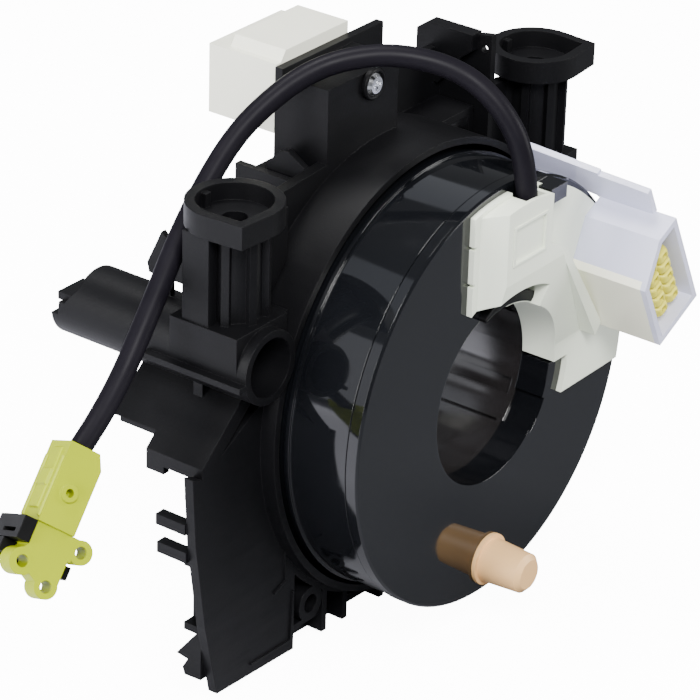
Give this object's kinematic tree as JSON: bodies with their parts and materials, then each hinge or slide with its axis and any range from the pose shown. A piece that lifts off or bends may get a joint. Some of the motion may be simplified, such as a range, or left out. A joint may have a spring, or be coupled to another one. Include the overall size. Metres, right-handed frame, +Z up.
{
  "type": "steering clock spring",
  "caption": "Steering clock spring: black bracket and drum, turning hub disc with a white connector holder, a tan drive pin and a short airbag lead with a yellow connector.",
  "frame": {"origin": "on the steering axis at the rear end of the rotor's hub bore", "axes": "+Y along the steering axis towards the column, the rotor's face towards -Y; +Z up along the two screw towers; +X to the right seen from the driver"},
  "size_m": [0.1875, 0.093, 0.1361],
  "materials": {
    "housing_black": "satin moulded, black",
    "gloss_black": "polished, black",
    "hub_black": "smooth, black",
    "slide_film": "translucent film",
    "ribbon_film": "laminated flat cable",
    "terminal_grey": "moulded, grey",
    "white_plastic": "satin, ivory white",
    "milky_plastic": "translucent, milky",
    "cream_plastic": "satin, cream",
    "pale_yellow": "satin, pale yellow",
    "contact_brass": "stamped contacts",
    "tan_plastic": "satin, tan",
    "warm_white": "satin, warm white",
    "screw_chrome": "plated",
    "lead_sleeve": "soft satin sleeve",
    "rubber_black": "matt",
    "bright_yellow": "satin, bright yellow",
    "lock_black": "satin, black"
  },
  "bodies": {
    "housing": {"bracket_housing": "housing_black", "drum_case": "gloss_black", "slide_sheet_front": "slide_film", "slide_sheet_rear": "slide_film", "ribbon_coil": "ribbon_film", "outer_terminal_block": "terminal_grey", "rear_terminals": "contact_brass", "rear_connector": "warm_white", "box_screw": "screw_chrome"},
    "rotor": {"rotor_disc": "gloss_black", "hub_sleeve": "hub_black", "retaining_ring": "hub_black", "inner_terminal_block": "terminal_grey", "connector_holder": "white_plastic", "connector_shroud": "milky_plastic", "steering_connector": "cream_plastic", "connector_insert": "pale_yellow", "steering_terminals": "contact_brass", "drive_pin": "tan_plastic", "airbag_lead": "lead_sleeve", "lead_grommet": "rubber_black", "airbag_connector": "bright_yellow"},
    "lock": {"airbag_lock": "lock_black"}
  },
  "joints": [
    {"name": "rotor_turn", "type": "hinge", "parent": "housing", "child": "rotor", "pos_m": [0, 0, 0], "axis": [0, 1, 0], "range_deg": [-900, 900], "deforming": ["airbag_lead", "ribbon_coil"]},
    {"name": "lock_slide", "type": "slide", "parent": "rotor", "child": "lock", "axis": [-0.6439, 0.5307, 0.5512], "range_m": [0, 0.0025]}
  ]
}
